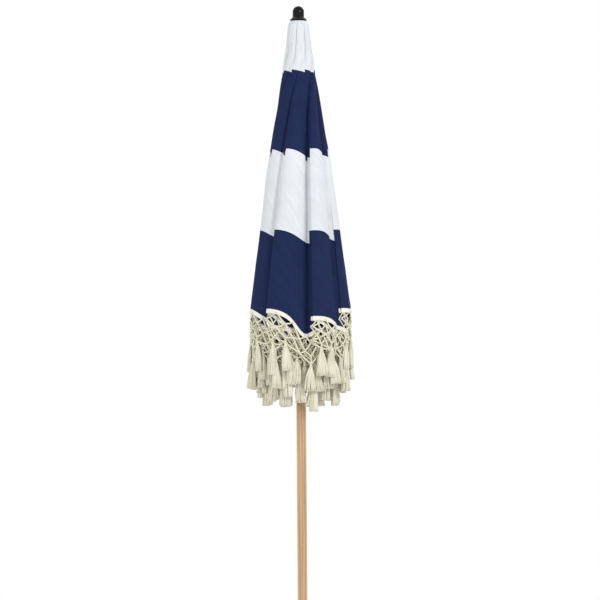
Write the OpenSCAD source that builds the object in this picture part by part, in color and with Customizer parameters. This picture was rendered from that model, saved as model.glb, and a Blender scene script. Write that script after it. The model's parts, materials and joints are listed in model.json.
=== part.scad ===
/* [Overall] */
// Height from the ground tip to the top of the finial
total_height = 2300; // [2000:10:2600]
// Length of each rib, from its hub pivot to its tip
rib_length = 1040; // [860:10:1260]
// Angle of a closed rib from straight down
closed_angle = 5; // [4:0.5:6]
// Angle of an open rib from straight down
open_angle = 73; // [65:1:78]

/* [Pole] */
// Diameter of the wooden pole
pole_d = 32; // [26:1:40]
// Diameter of the turned ends that sit in the ferrule
pole_end_d = 26; // [20:1:28]
// Length of the ferrule
ferrule_length = 100; // [80:5:140]
// Wall of the ferrule at its rolled ends
ferrule_wall = 3.5; // [3:0.5:6]
// Height of the ground spike below the pole
spike_length = 120; // [80:5:180]
// Depth of the spike's socket for the pole
socket_depth = 35; // [25:1:50]
// Screw shank diameter
screw_d = 4; // [3:0.5:5]

/* [Hub and finial] */
// Diameter of the hub that carries the ribs
hub_d = 54; // [50:1:62]
// Height of the hub
hub_height = 20; // [18:1:26]
// Distance of the rib pivots from the pole's axis
hub_pivot_r = 21.5; // [20:0.5:22]
// Diameter of the finial's round top
finial_d = 39; // [34:1:46]
// Diameter of the finial's flange
flange_d = 58; // [52:1:66]
// Height of the finial
finial_height = 47; // [40:1:60]
// Diameter of the threaded stud that holds the finial
stud_d = 8; // [6:1:10]

/* [Linkage] */
// Distance along a rib from the hub pivot to its stretcher
strut_place = 450; // [420:10:500]
// Length of each stretcher between its pivots
strut_length = 550; // [540:10:640]
// Offset of the stretcher pivot below the rib
strut_offset = 8; // [7:0.5:10]
// Distance of the runner's pivots from the pole's axis
runner_pivot_r = 29; // [28:0.5:34]
// Diameter of the rib and stretcher rods
rod_d = 5; // [4:0.5:6]
// Diameter of the pivot pins
pin_d = 4; // [3:0.5:4.5]
// Thickness of the flat eyes and tabs
eye_t = 3; // [2.5:0.5:3.5]

/* [Runner] */
// Wall of the runner's tube
runner_wall = 3.7; // [3:0.1:5]
// Length of the runner below its pivots
runner_drop = 56; // [50:1:70]
// Travel of the latch knob when it is pulled
latch_travel = 4; // [3:0.5:5]

/* [Canopy] */
// Radius of the closed canopy at its top
wrap_top_r = 31; // [30:0.5:36]
// Radius of the closed canopy at its hem
wrap_hem_r = 166; // [140:1:190]
// Height of the closed canopy from top to hem
wrap_height = 954; // [780:2:1130]
// Length of the fringe below the hem
fringe_length = 330; // [270:5:400]
// Thickness of the cloth
cloth_t = 0.8; // [0.6:0.1:1.5]

/* [Hidden] */
$fn = 64;
rib_count = 8;
first_rib = 79;
step = 360 / rib_count;

// clearances
run_gap = 0.05;    // round running fits
slide_gap = 0.3;   // the runner on the pole
fork_gap = 0.4;    // beside an eye, tab or lug
face_gap = 0.2;    // between end faces that seat

wood = [0.75, 0.59, 0.42];
black = [0.06, 0.06, 0.07];
steel = [0.55, 0.56, 0.58];
brass = [0.72, 0.58, 0.30];
cream = [0.86, 0.84, 0.76];
navy = [0.14, 0.19, 0.35];

pole_r = pole_d / 2;
pole_end_r = pole_end_d / 2;
pin_r = pin_d / 2;
rod_r = rod_d / 2;
stud_r = stud_d / 2;
eye_r = pin_r + 2;
fork_wall = 1.5;
fork_reach = 14;                       // from a pivot to the end of its fork
root_length = hub_height / 2 + eye_r;  // flat part of a rib at the hub

washer_t = 2;
finial_z = total_height - finial_height;
washer_z = finial_z - washer_t - face_gap;
cloth_stack = 4.8;       // gathered cloth between the hub and the washer
stud_sink = 38;          // stud in the pole
stud_reach = 24;         // stud in the finial
hub_top_z = washer_z - cloth_stack;
hub_z = hub_top_z - hub_height;
pivot_z = hub_z + hub_height / 2;
spigot_r = 9;

// closed linkage, in the plane of one rib
joint_r = hub_pivot_r + strut_place * sin(closed_angle) - strut_offset * cos(closed_angle);
joint_z = pivot_z - strut_place * cos(closed_angle) - strut_offset * sin(closed_angle);
strut_angle = asin((joint_r - runner_pivot_r) / strut_length);
runner_z = joint_z - strut_length * cos(strut_angle);
// the same linkage when open, which sets the runner's travel
open_joint_r = hub_pivot_r + strut_place * sin(open_angle) - strut_offset * cos(open_angle);
open_joint_z = pivot_z - strut_place * cos(open_angle) - strut_offset * sin(open_angle);
open_runner_z = open_joint_z - sqrt(pow(strut_length, 2) - pow(open_joint_r - runner_pivot_r, 2));
travel = open_runner_z - runner_z;

ferrule_top_z = runner_z - runner_drop - 1;
ferrule_z = ferrule_top_z - ferrule_length;
pole_joint_z = ferrule_z + ferrule_length / 2;
ferrule_r = pole_end_r + ferrule_wall;
screw_r = screw_d / 2;
screw_z = ferrule_z + ferrule_length / 4;
head_t = 1.8;
bead_r = 1.5;              // rolled edges of the ferrule
tenon_r = pole_r - 5;      // foot of the pole, in the spike's socket

runner_in_r = pole_r + slide_gap;
runner_out_r = runner_in_r + runner_wall;
crown_r = runner_pivot_r - eye_r - 2;
crown_drop = 8;
lug_reach = eye_r;

// the latch, midway between two ribs, turned this far from -Y
latch_turn = first_rib - 3.5 * step + 90;
latch_z = runner_z - runner_drop / 2 - 4;
bolt_r = 3;
collar_r = 5.5;
boss_r = 9;
cavity_start = runner_out_r + 1.5;
collar_t = 2;
boss_wall = 2;
spring_solid = 4.5;      // length of the spring when the knob is fully pulled
boss_end = cavity_start + collar_t + latch_travel + spring_solid + boss_wall;
stem_r = 2.5;
knob_r = 7;
knob_gap = 2;
knob_t = 6;
catch_depth = 8;

wrap_top_z = washer_z - 2;
hem_z = wrap_top_z - wrap_height;
ply_gap = 2.5;      // from the outer to the inner ply of the wrapped canopy
sector = step - 1;

module around(k) rotate([0, 0, first_rib - step * (k - 1)]) children();

module across(r, length) rotate([90, 0, 0]) cylinder(r = r, h = length, center = true);

module outward(r, from, to)
    rotate([0, 0, latch_turn]) translate([0, -from, 0]) rotate([90, 0, 0]) cylinder(r = r, h = to - from);

module block(x0, x1, half_y, z0, z1)
    translate([x0, -half_y, z0]) cube([x1 - x0, 2 * half_y, z1 - z0]);

module lower_pole() {
    color(wood) difference() {
        union() {
            translate([0, 0, spike_length])
                cylinder(r = pole_r, h = ferrule_z - face_gap - spike_length);
            translate([0, 0, spike_length - socket_depth + 1])
                cylinder(r = tenon_r - run_gap, h = socket_depth);
            translate([0, 0, ferrule_z - 1])
                cylinder(r = pole_end_r - run_gap, h = pole_joint_z - ferrule_z + 1);
        }
        translate([0, 0, screw_z]) rotate([0, 90, 0])
            cylinder(r = screw_r + run_gap, h = 2 * ferrule_r, center = true);
    }
}

module ground_spike() {
    tip_r = 3;
    collar_h = socket_depth + 6;
    color(steel) difference() {
        union() {
            cylinder(r1 = tip_r, r2 = pole_r, h = spike_length - collar_h);
            translate([0, 0, spike_length - collar_h]) cylinder(r = pole_r, h = collar_h - face_gap);
        }
        translate([0, 0, spike_length - socket_depth]) cylinder(r = tenon_r, h = socket_depth + 1);
    }
}

module pole_ferrule() {
    color(brass) difference() {
        union() {
            translate([0, 0, ferrule_z]) cylinder(r = ferrule_r - bead_r, h = ferrule_length);
            for (z = [ferrule_z + bead_r, pole_joint_z, ferrule_top_z - bead_r]) translate([0, 0, z])
                rotate_extrude() translate([ferrule_r - bead_r, 0]) circle(r = bead_r, $fn = 32);
        }
        translate([0, 0, ferrule_z - 1]) cylinder(r = pole_end_r, h = ferrule_length + 2);
        translate([0, 0, screw_z]) rotate([0, 90, 0])
            cylinder(r = screw_r + run_gap, h = 3 * ferrule_r, center = true);
    }
}

module ferrule_screws() {
    seat_r = ferrule_r - bead_r + 0.1;
    color(steel) for (side = [0, 180]) rotate([0, 0, side]) translate([0, 0, screw_z]) rotate([0, 90, 0]) {
        translate([0, 0, 3]) cylinder(r = screw_r, h = seat_r - 3);
        translate([0, 0, seat_r]) cylinder(r1 = 2 * screw_r, r2 = screw_r, h = head_t);
    }
}

module upper_pole() {
    color(wood) difference() {
        union() {
            translate([0, 0, ferrule_top_z + face_gap])
                cylinder(r = pole_r, h = hub_z - ferrule_top_z - 2 * face_gap);
            translate([0, 0, pole_joint_z + face_gap])
                cylinder(r = pole_end_r - run_gap, h = ferrule_top_z - pole_joint_z + 1);
            translate([0, 0, hub_z - 1]) cylinder(r = spigot_r, h = hub_height);
        }
        translate([0, 0, hub_z - stud_sink - 2])
            cylinder(r = stud_r + run_gap, h = stud_sink + hub_height + 3);
        translate([0, 0, latch_z + travel]) outward(bolt_r + slide_gap, pole_r - catch_depth, pole_r + 1);
    }
}

module top_hub() {
    slot_w = eye_t + 2 * slide_gap;
    slot_floor = hub_pivot_r - eye_r - 1;
    color(black) difference() {
        translate([0, 0, hub_z]) cylinder(r = hub_d / 2, h = hub_height);
        translate([0, 0, hub_z - 1]) cylinder(r = spigot_r + run_gap, h = hub_height + 2);
        for (k = [1:rib_count]) around(k) {
            block(slot_floor, hub_d, slot_w / 2, hub_z - 1, pivot_z + eye_r + 1);
            translate([hub_pivot_r, 0, pivot_z]) across(pin_r + 0.03, 10.8);
        }
    }
}

module hub_pins() {
    color(steel) for (k = [1:rib_count]) around(k)
        translate([hub_pivot_r, 0, pivot_z]) across(pin_r, 10.6);
}

module finial() {
    flare_h = 10;
    lip_t = 1.2;
    neck_r = finial_d / 2;
    color(black) translate([0, 0, finial_z]) difference() {
        rotate_extrude() {
            square([neck_r, finial_height - neck_r]);
            translate([0, finial_height - neck_r]) intersection() {
                circle(r = neck_r);
                square(neck_r);
            }
            polygon([[0, 0], [flange_d / 2, 0], [flange_d / 2, lip_t], [neck_r, flare_h], [0, flare_h]]);
        }
        translate([0, 0, -1]) cylinder(r = stud_r + run_gap, h = stud_reach + 3);
    }
}

module finial_stud() {
    start = hub_z - stud_sink;
    color(steel) translate([0, 0, start]) cylinder(r = stud_r, h = finial_z + stud_reach - start);
}

module top_washer() {
    color(black) translate([0, 0, washer_z]) difference() {
        cylinder(r = flange_d / 2 - 1, h = washer_t);
        translate([0, 0, -1]) cylinder(r = stud_r + slide_gap, h = washer_t + 2);
    }
}

module runner_body() {
    flange_t = 4;
    color(black) difference() {
        union() {
            translate([0, 0, runner_z - runner_drop]) cylinder(r = runner_out_r, h = runner_drop);
            translate([0, 0, runner_z - runner_drop]) cylinder(r = runner_out_r + 4, h = flange_t);
            translate([0, 0, runner_z - crown_drop]) cylinder(r = crown_r, h = crown_drop + 6);
            translate([0, 0, latch_z]) outward(boss_r, pole_r + 2, boss_end);
            for (k = [1:rib_count]) around(k)
                block(pole_r + 3, runner_pivot_r + lug_reach, eye_t / 2, runner_z - 6, runner_z + eye_r);
        }
        translate([0, 0, runner_z - runner_drop - 1]) cylinder(r = runner_in_r, h = runner_drop + 10);
        translate([0, 0, latch_z]) {
            outward(bolt_r + run_gap, pole_r - 2, cavity_start + 1);
            outward(collar_r + 0.5, cavity_start, boss_end - boss_wall);
            outward(stem_r + run_gap, boss_end - boss_wall - 1, boss_end + 1);
        }
        for (k = [1:rib_count]) around(k)
            translate([runner_pivot_r, 0, runner_z]) across(pin_r + run_gap, eye_t + 2);
    }
}

module runner_latch() {
    color(steel) translate([0, 0, latch_z]) {
        outward(bolt_r, pole_r + slide_gap, cavity_start + collar_t);
        outward(collar_r, cavity_start + face_gap, cavity_start + face_gap + collar_t);
        outward(stem_r, cavity_start + collar_t, boss_end + knob_gap + 1);
        outward(knob_r, boss_end + knob_gap, boss_end + knob_gap + knob_t);
    }
}

module latch_spring() {
    wire_r = 0.5;
    coil_r = stem_r + wire_r + 0.6;
    start = cavity_start + face_gap + collar_t + wire_r + 0.1;
    length = boss_end - boss_wall - start - wire_r - 0.1;
    color(steel) rotate([0, 0, latch_turn]) translate([0, -start, latch_z]) rotate([90, 0, 0])
        linear_extrude(height = length, twist = -360 * 4, slices = 72)
            translate([coil_r, 0]) circle(r = wire_r, $fn = 8);
}

module rib(k) {
    cap_length = 18;
    cap_wall = 1.4;
    color(black) around(k) translate([hub_pivot_r, 0, pivot_z]) rotate([0, -closed_angle, 0]) {
        difference() {
            union() {
                across(eye_r, eye_t);
                block(-rod_r, rod_r, eye_t / 2, -root_length - 2, 0);
                translate([0, 0, 2 - rib_length]) cylinder(r = rod_r, h = rib_length - 2 - root_length);
                block(-strut_offset, 0, eye_t / 2, -strut_place - 6, -strut_place + 6);
                translate([-strut_offset, 0, -strut_place]) across(eye_r, eye_t);
            }
            across(pin_r + run_gap, eye_t + 2);
            translate([-strut_offset, 0, -strut_place]) across(pin_r + run_gap, eye_t + 2);
        }
        difference() {
            translate([0, 0, -rib_length]) cylinder(r = rod_r + cap_wall, h = cap_length);
            translate([0, 0, 1.9 - rib_length]) cylinder(r = rod_r + 0.03, h = cap_length);
        }
    }
}

module fork() {
    inner = eye_t / 2 + fork_gap;
    for (side = [-1, 1]) translate([0, side * (inner + fork_wall / 2), 0]) {
        across(rod_r + 1, fork_wall);
        block(-rod_r - 1, rod_r + 1, fork_wall / 2, -fork_reach, 0);
    }
    block(-rod_r, rod_r, inner + 0.1, -fork_reach, -fork_reach + 5);
}

module stretcher(k) {
    fork_half = eye_t / 2 + fork_gap + fork_wall;
    color(steel) around(k) translate([joint_r, 0, joint_z]) rotate([0, strut_angle, 0]) {
        fork();
        across(pin_r, 2 * fork_half);
        for (side = [-1, 1]) translate([0, side * (fork_half + 0.5), 0]) across(pin_r + 0.8, 1);
        translate([0, 0, 12 - strut_length]) cylinder(r = rod_r, h = strut_length - 24);
        translate([0, 0, -strut_length]) mirror([0, 0, 1]) difference() {
            fork();
            across(pin_r + run_gap, 3 * fork_half);
        }
    }
}

module ply(k, offset) {
    top_r = wrap_top_r - offset;
    hem_r = wrap_hem_r - offset;
    around(k) rotate_extrude(angle = sector) polygon([
        [top_r - cloth_t, wrap_top_z], [top_r, wrap_top_z], [hem_r, hem_z], [hem_r - cloth_t, hem_z]
    ]);
}

module panel_a(k) color(k % 2 == 0 ? cream : navy) ply(k, 0);

module panel_b(k) color(k % 2 == 0 ? cream : navy) ply(k, ply_gap);

module fringe(k) {
    fringe_t = 3;
    flare = 10;
    top_z = hem_z - 2;
    end_r = wrap_hem_r + flare;
    end_z = top_z - fringe_length;
    color(cream) around(k) rotate_extrude(angle = sector) polygon([
        [wrap_hem_r - fringe_t, top_z], [wrap_hem_r, top_z], [end_r, end_z], [end_r - fringe_t, end_z]
    ]);
}

lower_pole();
ground_spike();
pole_ferrule();
ferrule_screws();
upper_pole();
top_hub();
hub_pins();
finial();
finial_stud();
top_washer();
runner_body();
runner_latch();
latch_spring();
for (k = [1:rib_count]) {
    rib(k);
    stretcher(k);
    panel_a(k);
    panel_b(k);
    fringe(k);
}
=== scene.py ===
import json
import math
import random

import bpy
import numpy as np
from mathutils import Matrix, Vector, noise


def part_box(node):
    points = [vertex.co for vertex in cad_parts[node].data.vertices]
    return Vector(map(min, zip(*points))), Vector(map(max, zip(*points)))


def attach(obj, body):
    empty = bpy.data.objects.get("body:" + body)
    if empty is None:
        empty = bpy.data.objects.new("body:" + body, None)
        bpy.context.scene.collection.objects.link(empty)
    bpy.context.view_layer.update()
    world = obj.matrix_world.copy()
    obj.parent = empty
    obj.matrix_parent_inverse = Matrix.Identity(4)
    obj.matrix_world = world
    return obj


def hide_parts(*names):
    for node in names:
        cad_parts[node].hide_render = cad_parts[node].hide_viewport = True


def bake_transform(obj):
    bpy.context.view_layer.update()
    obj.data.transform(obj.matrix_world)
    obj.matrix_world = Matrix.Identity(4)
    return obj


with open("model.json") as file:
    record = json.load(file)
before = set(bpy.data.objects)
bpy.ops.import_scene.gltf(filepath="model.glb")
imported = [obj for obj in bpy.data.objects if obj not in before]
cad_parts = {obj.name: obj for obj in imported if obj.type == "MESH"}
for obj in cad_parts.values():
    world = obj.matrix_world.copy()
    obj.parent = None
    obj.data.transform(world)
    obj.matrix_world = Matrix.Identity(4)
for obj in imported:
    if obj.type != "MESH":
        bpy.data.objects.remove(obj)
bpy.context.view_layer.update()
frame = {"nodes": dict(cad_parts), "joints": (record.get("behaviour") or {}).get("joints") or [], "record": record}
joints = {joint["name"]: joint for joint in frame["joints"]}
goreCount = 8
print("frame loaded")


# camera and lights

view = {
    "distance": 9.0, "height": 1.32, "side": -0.0015,      # where the camera stands
    "tall": 2.0, "sensor": 36,      # height that the picture takes in, and the sensor's width in mm
    "lean": math.radians(0.41),
}
light = {
    "sky": 1.0, "aim": (0, 0, 1.35),
    "key": ((2.4, -3.4, 3.2), 0.4, 74),     # place, size, watts
    "fill": ((-3.2, -2.8, 1.8), 0.5, 26),
    "back": ((0.6, 3.6, 2.8), 2.0, 40),
}


def makeCamera():
    camera = bpy.data.objects.new("camera", bpy.data.cameras.new("camera"))
    bpy.context.scene.collection.objects.link(camera)
    camera.data.sensor_width = view["sensor"]
    camera.data.lens = view["sensor"] * view["distance"] / view["tall"]
    camera.location = (view["side"], -view["distance"], view["height"])
    level = Matrix.Rotation(math.radians(90), 4, "X")
    camera.rotation_euler = (level @ Matrix.Rotation(-view["lean"], 4, "Z")).to_euler()
    bpy.context.scene.camera = camera


def makeLamp(name, place, size, watts):
    lamp = bpy.data.objects.new(name, bpy.data.lights.new(name, "AREA"))
    bpy.context.scene.collection.objects.link(lamp)
    lamp.data.size = size
    lamp.data.energy = watts
    lamp.location = place
    aim = Vector(light["aim"]) - Vector(place)
    lamp.rotation_euler = aim.to_track_quat("-Z", "Y").to_euler()


def makeSky():
    world = bpy.data.worlds.new("studio")
    bpy.context.scene.world = world
    world.use_nodes = True
    sky = world.node_tree.nodes["Background"]
    sky.inputs["Color"].default_value = (1, 1, 1, 1)
    sky.inputs["Strength"].default_value = light["sky"]


makeCamera()
makeSky()
for lampName in ("key", "fill", "back"):
    makeLamp(lampName, *light[lampName])
bpy.context.scene.view_settings.view_transform = "Standard"
print("camera and lights set")


# shader tools

# a socket that can be used in sums
class Value:
    def __init__(self, finish, socket):
        self.finish, self.socket = finish, socket

    def math(self, operation, first, second):
        return self.finish.node("ShaderNodeMath", {"operation": operation}, {0: first, 1: second})

    def __add__(self, other):
        return self.math("ADD", self, other)

    def __mul__(self, other):
        return self.math("MULTIPLY", self, other)


class Finish:
    def __init__(self, name, **fixed):
        self.material = bpy.data.materials.new(name)
        self.material.use_nodes = True
        self.tree = self.material.node_tree
        self.shader = self.tree.nodes["Principled BSDF"]
        for socket, value in fixed.items():
            self.shader.inputs[socket.replace("_", " ")].default_value = value

    def node(self, kind, settings=None, sockets=None, out=0):
        node = self.tree.nodes.new(kind)
        for name, value in (settings or {}).items():
            if name == "stops":
                for stop, (place, colour) in zip(node.color_ramp.elements, value):
                    stop.position, stop.color = place, (*colour, 1)
            else:
                setattr(node, name, value)
        for name, value in (sockets or {}).items():
            if isinstance(value, Value):
                self.tree.links.new(value.socket, node.inputs[name])
            else:
                node.inputs[name].default_value = value
        return Value(self, node.outputs[out])

    def place(self, stretch, source="Object"):
        where = self.node("ShaderNodeTexCoord", out=source)
        return self.node("ShaderNodeMapping", {}, {"Vector": where, "Scale": stretch})

    def cloudy(self, where, scale, detail=4.0, rough=0.55):
        return self.node("ShaderNodeTexNoise", {}, {"Vector": where, "Scale": scale, "Detail": detail,
                                                    "Roughness": rough})

    def bands(self, where, scale, direction="X", distortion=0.0):
        return self.node("ShaderNodeTexWave", {"bands_direction": direction},
                         {"Vector": where, "Scale": scale, "Distortion": distortion}, out="Fac")

    def ramp(self, value, first, second):
        return self.node("ShaderNodeValToRGB", {"stops": (first, second)}, {0: value})

    def blend(self, factor, first, second):
        return self.node("ShaderNodeMix", {"data_type": "RGBA"}, {0: factor, 6: first, 7: second}, out=2)

    def feed(self, bump=None, depth=0.001, strength=1.0, **links):
        if bump is not None:
            links["Normal"] = self.node("ShaderNodeBump", {}, {"Height": bump, "Distance": depth,
                                                               "Strength": strength})
        for socket, value in links.items():
            self.tree.links.new(value.socket, self.shader.inputs[socket.replace("_", " ")])
        return self.material


# finishes

def oiledWood():
    finish = Finish("oiledWood", Coat_Weight=0.12, Coat_Roughness=0.35)
    grain = finish.cloudy(finish.place((42, 42, 1.6)), 1.6, 6, 0.6)
    rings = finish.bands(finish.place((1, 1, 0.05)), 34, "X", 5.0)
    pores = finish.cloudy(finish.place((260, 260, 9)), 1.0, 2, 0.6)
    tone = grain * 0.7 + rings * 0.3
    colour = finish.ramp(tone, (0.28, (0.33, 0.19, 0.095)), (0.72, (0.60, 0.38, 0.20)))
    pitted = finish.blend(pores * 0.35, colour, (0.26, 0.15, 0.075, 1))
    return finish.feed(bump=tone * 0.6 + pores * 0.4, depth=0.0004, Base_Color=pitted,
                       Roughness=grain * 0.25 + 0.36)


def glossBlack():
    finish = Finish("glossBlack", Specular_IOR_Level=0.16)
    haze = finish.cloudy(finish.place((1, 1, 1)), 70, 4)
    colour = finish.ramp(haze, (0.3, (0.002, 0.002, 0.0025)), (0.75, (0.006, 0.006, 0.007)))
    return finish.feed(bump=haze, depth=0.00003, Base_Color=colour, Roughness=haze * 0.06 + 0.06)


def blackSteel():
    finish = Finish("blackSteel")
    speckle = finish.cloudy(finish.place((1, 1, 1)), 900, 3)
    worn = finish.cloudy(finish.place((30, 30, 8)), 2.2, 5)
    wear = finish.node("ShaderNodeMapRange", {}, {"Value": worn, "From Min": 0.66, "From Max": 0.74})
    colour = finish.blend(wear, (0.022, 0.022, 0.025, 1), (0.20, 0.19, 0.18, 1))
    return finish.feed(bump=speckle, depth=0.00008, Base_Color=colour,
                       Metallic=wear * 0.8, Roughness=speckle * 0.2 + 0.34)


def zincSteel():
    finish = Finish("zincSteel", Metallic=1.0)
    brushed = finish.cloudy(finish.place((400, 400, 30)), 1.0, 3)
    colour = finish.ramp(brushed, (0.3, (0.46, 0.47, 0.49)), (0.7, (0.66, 0.67, 0.68)))
    return finish.feed(bump=brushed, depth=0.00004, Base_Color=colour, Roughness=brushed * 0.2 + 0.26)


def satinBrass():
    finish = Finish("satinBrass", Metallic=1.0)
    tarnish = finish.cloudy(finish.place((1, 1, 1)), 22, 5)
    drawn = finish.cloudy(finish.place((30, 30, 700)), 1.0, 2)
    colour = finish.ramp(tarnish, (0.35, (0.36, 0.23, 0.09)), (0.65, (0.72, 0.53, 0.25)))
    return finish.feed(bump=drawn, depth=0.00005, Base_Color=colour, Roughness=tarnish * 0.25 + 0.22)


def spikePaint():
    finish = Finish("spikePaint", Metallic=0.4)
    scuffs = finish.cloudy(finish.place((60, 60, 14)), 1.6, 6)
    colour = finish.ramp(scuffs, (0.4, (0.045, 0.047, 0.05)), (0.72, (0.23, 0.21, 0.18)))
    return finish.feed(bump=scuffs, depth=0.0003, Base_Color=colour, Roughness=scuffs * 0.3 + 0.4)


def canvas(name, deep, pale):
    finish = Finish(name, Specular_IOR_Level=0.08)
    warp = finish.bands(finish.place((1, 1, 1), "UV"), 260, "X", 0.4)
    weft = finish.bands(finish.place((1, 1, 1), "UV"), 260, "Y", 0.4)
    slub = finish.cloudy(finish.place((150, 9, 9), "UV"), 1.0, 4)
    # painted wrinkle shade: broad noise that lightens and darkens the cloth in patches, as shade in wrinkles
    # would; the tone below mixes it with the slub's thread tone
    wrinkleShade = finish.cloudy(finish.place((5, 2.2, 5), "UV"), 1.0, 5)
    tone = slub * 0.45 + wrinkleShade * 0.55
    colour = finish.ramp(tone, (0.36, deep), (0.64, pale))
    thread = finish.blend(warp * weft * 0.22, colour, (*deep, 1))
    return finish.feed(bump=warp * 0.35 + weft * 0.35 + slub * 0.3, depth=0.0005, strength=0.6,
                       Base_Color=thread, Roughness=slub * 0.14 + 0.76)


def twistedCotton():
    finish = Finish("twistedCotton", Specular_IOR_Level=0.1)
    twist = finish.bands(finish.place((1, 90, 1), "UV"), 1.1, "DIAGONAL", 0.8)
    tuft = finish.cloudy(finish.place((6, 260, 1), "UV"), 1.0, 4)
    colour = finish.ramp(twist * 0.45 + tuft * 0.55, (0.25, (0.43, 0.39, 0.26)), (0.62, (0.80, 0.77, 0.62)))
    return finish.feed(bump=twist * 0.7 + tuft * 0.3, depth=0.0009, Base_Color=colour,
                       Roughness=tuft * 0.15 + 0.78)


def combedCotton():
    finish = Finish("combedCotton", Specular_IOR_Level=0.1)
    fibre = finish.cloudy(finish.place((9, 46, 1), "UV"), 1.0, 4)
    tuft = finish.cloudy(finish.place((1, 1, 0.4)), 38, 4)
    colour = finish.ramp(fibre * 0.4 + tuft * 0.6, (0.32, (0.50, 0.475, 0.345)), (0.66, (0.74, 0.72, 0.60)))
    return finish.feed(bump=fibre, depth=0.0006, Base_Color=colour, Roughness=tuft * 0.12 + 0.82)


finishes = {
    "wood": oiledWood(), "gloss_black": glossBlack(), "black_steel": blackSteel(), "steel": zincSteel(),
    "brass": satinBrass(), "spike": spikePaint(),
    "cloth_white": canvas("canvasWhite", (0.565, 0.595, 0.62), (0.665, 0.69, 0.705)),
    "cloth_navy": canvas("canvasNavy", (0.0085, 0.0150, 0.054), (0.0135, 0.0235, 0.076)),
    "fringe_cord": twistedCotton(),
}
tapeFinish = canvas("hemTape", (0.64, 0.63, 0.54), (0.76, 0.75, 0.66))
for part in frame["record"]["subparts"]:
    cadPart = frame["nodes"][part["node"]]
    cadPart.data.materials.clear()
    cadPart.data.materials.append(finishes[part["material_slot"]])
tasselFinish = combedCotton()
print("finishes made")


# the canopy, gore by gore: each half gore is laid wrapped round its own rib

canopy = {
    "cut": 1.033,            # from the hub to the hem, along a rib
    "ribAngle": math.radians(5),
    "stripes": (0.0, 0.146, 0.443, 0.727, 1.016),
    "columns": 104, "rowLength": 0.02, "uvWide": 0.39,
    "slant": 0.046, "slantStart": 0.26, "slantGrowth": 0.6,      # how hem and stripes dip beside the ribs
    "uneven": {1: (1.0, 0.30, 0.024), 2: (0.80, 0.075, 0.034)},      # slack hem: place, width and depth
    "unevenGrowth": 6,
    "offRib": 0.0045, "offHub": 0.012, "hubReach": 0.04,      # cloth above the ribs' centre lines
    "tape": 0.014, "tapeThick": 0.0011,
}
wrap = {
    "sewn": 6,                                       # the cloth is free a sixth of its width from the rib
    "innerTurn": 0.66, "outerTurn": 0.34,            # outer turns of the wrap lie over inner ones
    "puff": 0.029, "puffLong": 0.99, "puffLow": 0.75,
    "hubClear": 0.0305, "hubSlope": 0.06, "hubAbove": 0.02, "hubBelow": 0.05,
    "innerRoom": 0.55, "outerRoom": 0.45, "roomStart": 0.30, "leastRoom": 0.06,      # for lobes
    "lobe": 0.014, "lobePeak": 0.62, "lobeMiddle": 0.75,
    "valley": math.radians(4),                       # from a fold to the crease beside it
    "lobeDepths": (1.8, 0.9, 0.7, 0.7, 0.7, 0.8, 0.8, 0.9),
    "notch": 0.008, "notchWide": math.radians(3.6),
    "crease": 0.0056, "creaseStart": 0.35,
    "waves": (13, 2.1), "wrinkles": (34, 5, 7), "wrinkleShare": 0.4,      # across, along, shift
}
wrapWeight = {"a": lambda u: 1 - (1 - u) ** 0.7, "b": lambda u: 1 - (1 - u) ** 2}


def turn(points, pivot, axis, angle):
    axis = np.asarray(axis, float) / np.linalg.norm(axis)
    arm = points - pivot
    cosine, sine = np.cos(angle), np.sin(angle)
    if np.ndim(angle):
        cosine, sine = cosine[:, None], sine[:, None]
    along = (arm @ axis)[:, None] * axis
    return pivot + arm * cosine + np.cross(axis, arm) * sine + along * (1 - cosine)


def ribFacts(index):
    hinge = joints[f"rib_hinge_{index}"]
    pivot = np.array(hinge["pos_m"])
    outward = np.array([pivot[0], pivot[1], 0]) / math.hypot(pivot[0], pivot[1])
    opening = math.radians(hinge["range_deg"][1])
    steep = canopy["ribAngle"] + opening
    up = np.array([0, 0, 1])
    return {
        "pivot": pivot, "axis": np.array(hinge["axis"]), "opening": opening,
        "tip": pivot + canopy["cut"] * (math.sin(steep) * outward - math.cos(steep) * up),
        "normal": math.cos(steep) * outward + math.sin(steep) * up,
        "closed": math.sin(canopy["ribAngle"]) * outward - math.cos(canopy["ribAngle"]) * up,
    }


ribs = {index: ribFacts(index) for index in range(1, goreCount + 1)}


def halfGore(index, side):
    following = index % goreCount + 1
    own, other = (index, following) if side == "a" else (following, index)
    fold = joints[f"fold_{index}_{side}_hinge"]
    mid = (ribs[own]["pivot"] + ribs[other]["pivot"]) / 2
    midHem = (ribs[own]["tip"] + ribs[other]["tip"]) / 2
    normal = np.cross(ribs[index]["tip"] - mid, ribs[following]["tip"] - mid)
    normal = normal * np.sign(normal[2]) / np.linalg.norm(normal)
    return {
        "name": f"{index}_{side}", "gore": index, "side": side,
        "rib": f"rib_{own}", "fold": f"fold_{index}_{side}",
        "own": ribs[own], "mid": mid, "midHem": midHem, "normal": normal,
        "pivot": np.array(fold["pos_m"]), "axis": np.array(fold["axis"]),
        "angle": math.radians(fold["range_deg"][1]),
    }


# v as it is where the stripe or hem at v dips towards the ribs
def dipped(half, u, v):
    u, v = np.broadcast_arrays(np.asarray(u, float), np.asarray(v, float))
    slack = np.clip((1 - u) / canopy["slantStart"], 0, 1)
    dip = canopy["slant"] * v ** canopy["slantGrowth"] * slack * slack * (3 - 2 * slack)
    if half["gore"] in canopy["uneven"]:
        place, width, depth = canopy["uneven"][half["gore"]]
        if place == 1 or half["side"] == "a":
            dip = dip + depth * v ** canopy["unevenGrowth"] * np.exp(-((u - place) / width) ** 2)
    return v + dip


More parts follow.
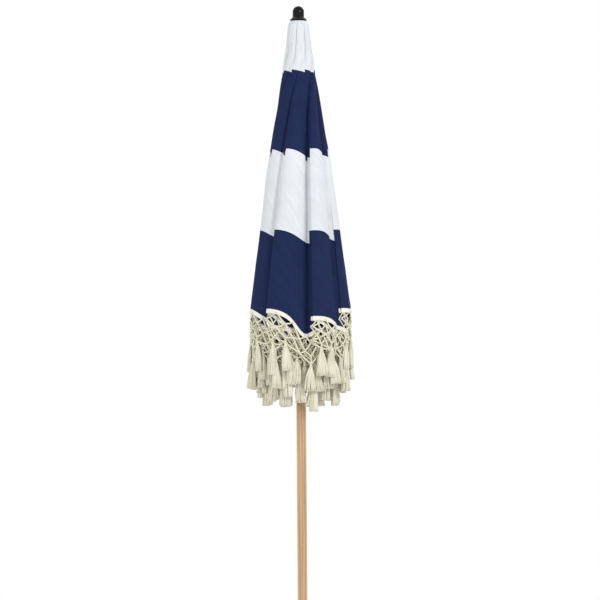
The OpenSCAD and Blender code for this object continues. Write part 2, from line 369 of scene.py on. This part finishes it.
# half gore points as the hinges alone would close them; u runs from the rib to the fold, v from hub to hem
def bareLay(half, u, v):
    u, v = u[:, None], v[:, None]
    own = half["own"]
    top = own["pivot"] * (1 - u) + half["mid"] * u
    hem = own["tip"] * (1 - u) + half["midHem"] * u
    normal = own["normal"] * (1 - u) + half["normal"] * u
    normal /= np.linalg.norm(normal, axis=1)[:, None]
    off = canopy["offRib"] + (canopy["offHub"] - canopy["offRib"]) * np.exp(-v / canopy["hubReach"])
    points = top * (1 - v) + hem * v + normal * off
    points = turn(points, own["pivot"], own["axis"], -own["opening"])
    return turn(points, half["pivot"], half["axis"], -wrapWeight[half["side"]](u.ravel()) * half["angle"])


# azimuth of a gore's fold, by its drop below the hub
def foldLine(half):
    v = np.linspace(0.01, 1.1, 60)
    points = bareLay(half, np.ones(60), v)
    return half["own"]["pivot"][2] - points[:, 2], np.unwrap(np.arctan2(points[:, 1], points[:, 0]))


# how far the cloth stands out: least in the valley beside each fold, most between two folds
def lobes(azimuth, drop):
    ahead = [(azimuth - np.interp(drop, *line) + wrap["valley"]) % (2 * math.pi) for line in foldLines]
    ahead = np.stack(ahead)
    which = ahead.argmin(axis=0)
    nearest = ahead.min(axis=0)
    gap = nearest + 2 * math.pi - ahead.max(axis=0)
    depths = np.array(wrap["lobeDepths"])
    here = depths[which]
    after = depths[ahead.argmax(axis=0)]
    share = nearest / gap
    bulge = np.sin(math.pi * share ** wrap["lobePeak"])
    aside = np.minimum(nearest, gap - nearest) / wrap["notchWide"]
    deep = here * (1 - share) + after * share
    return deep * (wrap["lobe"] * (bulge - wrap["lobeMiddle"]) - wrap["notch"] * np.exp(-aside * aside))


def ripples(points, across, along, shift=0):
    return np.array([noise.noise(Vector((x * across, y * across, z * along + shift))) for x, y, z in points])


# where points of the half gore lie when the canopy is closed
def lay(half, u, v, lift=0.0):
    u, v = np.broadcast_arrays(np.asarray(u, float), np.asarray(v, float))
    u, v = u.ravel(), v.ravel()
    points = bareLay(half, u, v)
    radius = np.hypot(points[:, 0], points[:, 1])
    drop = half["own"]["pivot"][2] - points[:, 2]
    free = np.clip(u * wrap["sewn"], 0, 1) ** 0.5      # none where the cloth is sewn to its rib
    layer = free * (wrap["innerTurn"] + wrap["outerTurn"] * u * u)
    swell = np.sin(math.pi * np.clip(drop / wrap["puffLong"], 0, 1) ** wrap["puffLow"])
    nearHub = np.clip(drop, -wrap["hubAbove"], wrap["hubBelow"])
    wanted = radius + layer * wrap["puff"] * swell
    wanted = np.maximum(wanted, wrap["hubClear"] + wrap["hubSlope"] * nearHub)
    room = free * (wrap["innerRoom"] + wrap["outerRoom"] * u * u)
    room = room * np.clip(drop / wrap["roomStart"], wrap["leastRoom"], 1)
    wanted += room * lobes(np.arctan2(points[:, 1], points[:, 0]), drop)
    ripple = ripples(points, *wrap["waves"]) + wrap["wrinkleShare"] * ripples(points, *wrap["wrinkles"])
    wanted += wrap["crease"] * np.clip(drop / wrap["creaseStart"], 0, 1) * free * ripple + lift
    scale = wanted / np.maximum(radius, 1e-6)
    points[:, 0] *= scale
    points[:, 1] *= scale
    return points


def meshPiece(name, points, faces, uvs, materials, faceSlots=None):
    mesh = bpy.data.meshes.new(name)
    mesh.from_pydata([tuple(p) for p in points], [], faces)
    layer = mesh.uv_layers.new(name="UVMap")
    layer.data.foreach_set("uv", np.asarray(uvs, float).ravel())
    for material in materials:
        mesh.materials.append(material)
    if faceSlots is not None:
        mesh.polygons.foreach_set("material_index", faceSlots)
    mesh.polygons.foreach_set("use_smooth", [True] * len(faces))
    mesh.update()
    piece = bpy.data.objects.new(name, mesh)
    bpy.context.scene.collection.objects.link(piece)
    return piece


# bakes the piece into place; the share that each point has across the cloth is worked out but not applied
def follow(piece, half, u):
    hem = half["pivot"] + half["own"]["closed"] * canopy["cut"]
    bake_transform(piece)
    weights = wrapWeight[half["side"]](np.clip(np.asarray(u, float), 0, 1))


def gridFaces(rows, columns):
    return [
        (r * columns + c, r * columns + c + 1, (r + 1) * columns + c + 1, (r + 1) * columns + c)
        for r in range(rows - 1) for c in range(columns - 1)
    ]


def makeCloth(half):
    edges = canopy["stripes"]
    levels, owners = [edges[0]], []
    for stripe, (start, end) in enumerate(zip(edges, edges[1:])):
        count = max(4, round((end - start) * canopy["cut"] / canopy["rowLength"]))
        levels += [start + (end - start) * (n + 1) / count for n in range(count)]
        owners += [stripe % 2] * count
    columns = canopy["columns"] + 1
    across = np.linspace(0, 1, columns)
    u = np.tile(across, len(levels))
    v = np.concatenate([dipped(half, across, level) for level in levels])
    faces = gridFaces(len(levels), columns)
    wide = canopy["uvWide"] * u * v
    long = v * canopy["cut"]
    uvs = [(wide[corner], long[corner]) for face in faces for corner in face]
    slots = [owners[n // canopy["columns"]] for n in range(len(faces))]
    piece = meshPiece("canopy_" + half["name"], lay(half, u, v), faces, uvs,
                      [finishes["cloth_white"], finishes["cloth_navy"]], slots)
    follow(piece, half, u)
    return piece


# the cream binding, folded over the hem
def makeTape(half):
    across = np.linspace(0, 1, canopy["columns"] + 1)
    hem = dipped(half, across, canopy["stripes"][-1])
    width, thick = canopy["tape"] / canopy["cut"], canopy["tapeThick"]
    section = [(-width, thick * 0.4), (-width * 0.5, thick), (0.001, thick), (0.002, 0.0),
               (0.001, -thick), (-width * 0.5, -thick), (-width, -thick * 0.4)]
    rings = [lay(half, across, hem + shift, lift) for shift, lift in section]
    points = np.concatenate(rings)
    faces = gridFaces(len(section), len(across))
    last = (len(section) - 1) * len(across)
    faces += [(last + c, last + c + 1, c + 1, c) for c in range(len(across) - 1)]
    side = canopy["tape"] / len(section)
    uvs = [(canopy["uvWide"] * (c % len(across)) / len(across), side * (c // len(across)))
           for face in faces for c in face]
    piece = meshPiece("hem_tape_" + half["name"], points, faces, uvs, [tapeFinish])
    follow(piece, half, np.tile(across, len(section)))
    return piece


# knotted fringe and tassels

fringe = {
    "columns": 12, "rows": 3, "rowDrop": 0.0225,
    "cord": 0.0026, "knot": 0.0042, "slack": 0.0014,      # radii, and how far a cord sags
    "heads": (0.4, 1.5),                                  # rows from the net to a tassel
    "tassel": 0.100, "lengths": (0.88, 1.10), "lean": 0.12,
    "collar": 0.012, "collarR": 0.0046,
    "skirtWide": 0.018, "skirtDeep": 0.010, "skirtTop": 0.16, "swell": (0.8, 1.12),
    "strands": 34, "strandR": 0.0032, "strandTurn": 2.4, "strandSteps": 5, "bow": 0.003, "ragged": 0.02,
}
sway = random.Random(7)


class Cords:
    def __init__(self):
        self.points, self.faces, self.uvs, self.shares, self.slots = [], [], [], [], []

    def tube(self, path, radii, shares, sides=6, slot=0):
        first = len(self.points)
        runs = [0.0]
        for n, here in enumerate(path):
            if n:
                runs.append(runs[-1] + (here - path[n - 1]).length)
            ahead = (path[min(n + 1, len(path) - 1)] - path[max(n - 1, 0)]).normalized()
            side = ahead.cross(Vector((0.08, 1, 0.1))).normalized()
            over = ahead.cross(side)
            for k in range(sides):
                angle = 2 * math.pi * k / sides
                self.points.append(here + radii[n] * (math.cos(angle) * side + math.sin(angle) * over))
                self.shares.append(shares[n])
        for n in range(len(path) - 1):
            for k in range(sides):
                nxt = (k + 1) % sides
                low, high = first + n * sides, first + (n + 1) * sides
                self.faces.append((low + k, low + nxt, high + nxt, high + k))
                self.slots.append(slot)
                self.uvs += [(k / sides, runs[n]), ((k + 1) / sides, runs[n]),
                             ((k + 1) / sides, runs[n + 1]), (k / sides, runs[n + 1])]
        for start, flip in ((first, True), (first + (len(path) - 1) * sides, False)):
            ring = [start + k for k in range(sides)]
            self.faces.append(tuple(ring[::-1] if flip else ring))
            self.slots.append(slot)
            self.uvs += [(0.5, 0.0)] * sides


# a point of the fringe, which hangs straight down from the hem
def hangPoint(half, place, depth):
    u = min(max(place / fringe["columns"], 0.0), 1.0)
    hem = Vector(lay(half, u, dipped(half, u, canopy["stripes"][-1]) - 0.001)[0])
    return hem - Vector((0, 0, depth)), u


def makeTassel(cords, top, share, length):
    lean = fringe["lean"]
    down = Vector((sway.uniform(-lean, lean), sway.uniform(-lean, lean) * 0.5, -1)).normalized()
    out = Vector((top.x, top.y, 0)).normalized()
    wide = out.cross(down).normalized()
    deep = down.cross(wide)
    neck = top + down * fringe["collar"]
    radius = fringe["collarR"]
    cords.tube([top, top + down * 0.003, neck, neck + down * 0.002],
               [radius * 0.5, radius, radius * 1.15, radius * 0.8], [share] * 4, 8)
    swell = sway.uniform(*fringe["swell"])
    fall = length - fringe["collar"]
    for n in range(fringe["strands"]):
        reach = math.sqrt((n + 0.5) / fringe["strands"])
        angle = fringe["strandTurn"] * n + sway.uniform(-0.3, 0.3)
        aside = math.cos(angle) * wide * fringe["skirtWide"] + math.sin(angle) * deep * fringe["skirtDeep"]
        bow = sway.uniform(-fringe["bow"], fringe["bow"])
        ragged = 1 + sway.uniform(-fringe["ragged"], fringe["ragged"])
        path = []
        for step in range(fringe["strandSteps"] + 1):
            along = step / fringe["strandSteps"]
            flare = fringe["skirtTop"] + (1 - fringe["skirtTop"]) * math.sin(along * 1.5) ** 0.9
            sideways = aside * reach * swell * flare + wide * bow * math.sin(3 * along)
            path.append(neck - down * 0.003 + down * fall * along * ragged + sideways)
        thick = fringe["strandR"]
        radii = [thick * 0.6, thick * 0.9] + [thick] * (len(path) - 2)
        cords.tube(path, radii, [share] * len(path), 5, 1)


def makeFringe(half):
    cords = Cords()
    columns, rows = fringe["columns"], fringe["rows"]

    def knotAt(place, row):
        return hangPoint(half, place, row * fringe["rowDrop"] - (0.004 if row == 0 else 0))

    def strand(upper, lower):
        (start, u0), (end, u1) = upper, lower
        slack = Vector((sway.uniform(-1, 1), sway.uniform(-1, 1), -1)) * fringe["slack"]
        steps = (0, 0.16, 0.5, 0.84, 1)
        path = [start.lerp(end, t) + (slack if t == 0.5 else Vector()) for t in steps]
        thin, fat = fringe["cord"], fringe["knot"]
        cords.tube(path, [fat, thin, thin, thin, fat], [u0 + (u1 - u0) * t for t in steps])

    for row in range(rows):
        places = [c + 0.5 for c in range(columns)] if row % 2 == 0 else list(range(columns + 1))
        for place in places:
            for aside in (-0.5, 0.5):
                if 0 <= place + aside <= columns:
                    strand(knotAt(place, row), knotAt(place + aside, row + 1))
    for place in range(1, columns, 2):      # three cords gather into each tassel
        extra = sway.uniform(*fringe["heads"])
        head = hangPoint(half, place, (rows + extra) * fringe["rowDrop"])
        for aside in (-1, 0, 1):
            strand(knotAt(place + aside, rows), head)
        makeTassel(cords, head[0] + Vector((0, 0, 0.003)), head[1],
                   fringe["tassel"] * sway.uniform(*fringe["lengths"]))
    piece = meshPiece("fringe_" + half["name"], cords.points, cords.faces, cords.uvs,
                      [finishes["fringe_cord"], tasselFinish], cords.slots)
    follow(piece, half, cords.shares)
    return piece


halves = [halfGore(index, side) for index in range(1, goreCount + 1) for side in "ab"]
foldLines = [foldLine(half) for half in halves if half["side"] == "a"]
for half in halves:
    cloth, tape, net = makeCloth(half), makeTape(half), makeFringe(half)
    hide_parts("panel_" + half["name"])
    if half["side"] == "a":
        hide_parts("fringe_" + half["name"].split("_")[0])
    "rib_" + half["rib"].split("_")[1]
print("canopy and fringe made")


# the cloth cap under the finial, and the pockets that hold the rib tips

capShape = {
    "hole": 0.006, "under": 0.0003, "thick": 0.0012, "shoulder": 0.8, "dip": 0.0002,
    "outside": ((0.0, 0.0012), (0.0025, 0.005), (0.004, 0.011), (0.0055, 0.018)),      # beyond the washer
    "inside": ((0.0045, 0.018), (0.003, 0.011), (0.001, 0.0055)),
}
pocketShape = {
    "above": 0.030,      # from its mouth to the hem
    "stations": ((0.0, 0.0052), (0.004, 0.0060), (0.026, 0.0060), (0.040, 0.0056), (0.0445, 0.0040),
                 (0.0460, 0.0015)),      # distance along the rib, and radius
    "sides": 16, "oval": 1.35, "girth": 0.03,
}


def lathe(name, profile, material, sides=64):
    count = len(profile)
    points = [(r * math.cos(2 * math.pi * k / sides), r * math.sin(2 * math.pi * k / sides), z)
              for k in range(sides) for r, z in profile]
    faces, uvs = [], []
    for k in range(sides):
        for n in range(count - 1):
            low, high = k * count + n, ((k + 1) % sides) * count + n
            faces.append((low, high, high + 1, low + 1))
            uvs += [(0.2 * c / sides, 0.01 * m) for c, m in ((k, n), (k + 1, n), (k + 1, n + 1), (k, n + 1))]
    return meshPiece(name, points, faces, uvs, [material])


def makeCap():
    low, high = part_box("top_washer")
    edge = high.x
    top = low.z - capShape["under"]
    hole, foot = capShape["hole"], top - capShape["thick"]
    shoulder = edge * capShape["shoulder"]
    skirt = [(edge + out, top - down) for out, down in capShape["outside"] + capShape["inside"]]
    profile = [(hole, foot), (hole, top), (shoulder, top - capShape["dip"]), *skirt,
               (shoulder, foot - capShape["dip"]), (hole, foot)]
    cap = lathe("cloth_cap", profile, finishes["cloth_white"])
    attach(cap, "upper_pole")


# a sewn sleeve at the hem that takes the rib's end
def makePocket(index):
    rib = ribs[index]
    along = Vector(rib["closed"])
    side = Vector(rib["axis"])
    over = along.cross(side)
    start = Vector(rib["pivot"]) + along * (canopy["cut"] - pocketShape["above"])
    stations, sides = pocketShape["stations"], pocketShape["sides"]
    points, faces, uvs = [], [], []
    for reach, radius in stations:
        for k in range(sides):
            angle = 2 * math.pi * k / sides
            aside = pocketShape["oval"] * math.cos(angle) * side + math.sin(angle) * over
            points.append(start + along * reach + radius * aside)
    for n in range(len(stations) - 1):
        for k in range(sides):
            nxt = (k + 1) % sides
            faces.append((n * sides + k, n * sides + nxt, (n + 1) * sides + nxt, (n + 1) * sides + k))
            corners = ((k, n), (k + 1, n), (k + 1, n + 1), (k, n + 1))
            uvs += [(pocketShape["girth"] * c / sides, stations[m][0]) for c, m in corners]
    faces.append(tuple((len(stations) - 1) * sides + k for k in range(sides)))
    uvs += [(0.01, 0.01)] * sides
    pocket = meshPiece(f"tip_pocket_{index}", points, faces, uvs, [finishes["cloth_navy"]])
    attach(pocket, f"rib_{index}")


makeCap()
for ribIndex in ribs:
    makePocket(ribIndex)
print("cap and pockets made")


ground = {"radius": 2.8, "corners": 96, "below": 0.002}


def makeFloor():
    radius, corners = ground["radius"], ground["corners"]
    rim = [(radius * math.cos(2 * math.pi * k / corners), radius * math.sin(2 * math.pi * k / corners), 0)
           for k in range(corners)]
    mesh = bpy.data.meshes.new("floor")
    mesh.from_pydata(rim, [], [tuple(range(corners))])
    floor = bpy.data.objects.new("floor", mesh)
    floor.location.z = -ground["below"]
    bpy.context.scene.collection.objects.link(floor)
    finish = Finish("paleFloor", Roughness=0.9)
    tone = finish.cloudy(finish.place((1, 1, 1)), 2.0, 3)
    pale = finish.ramp(tone, (0.3, (0.88, 0.88, 0.88)), (0.7, (0.9, 0.9, 0.9)))
    mesh.materials.append(finish.feed(Base_Color=pale))


makeFloor()
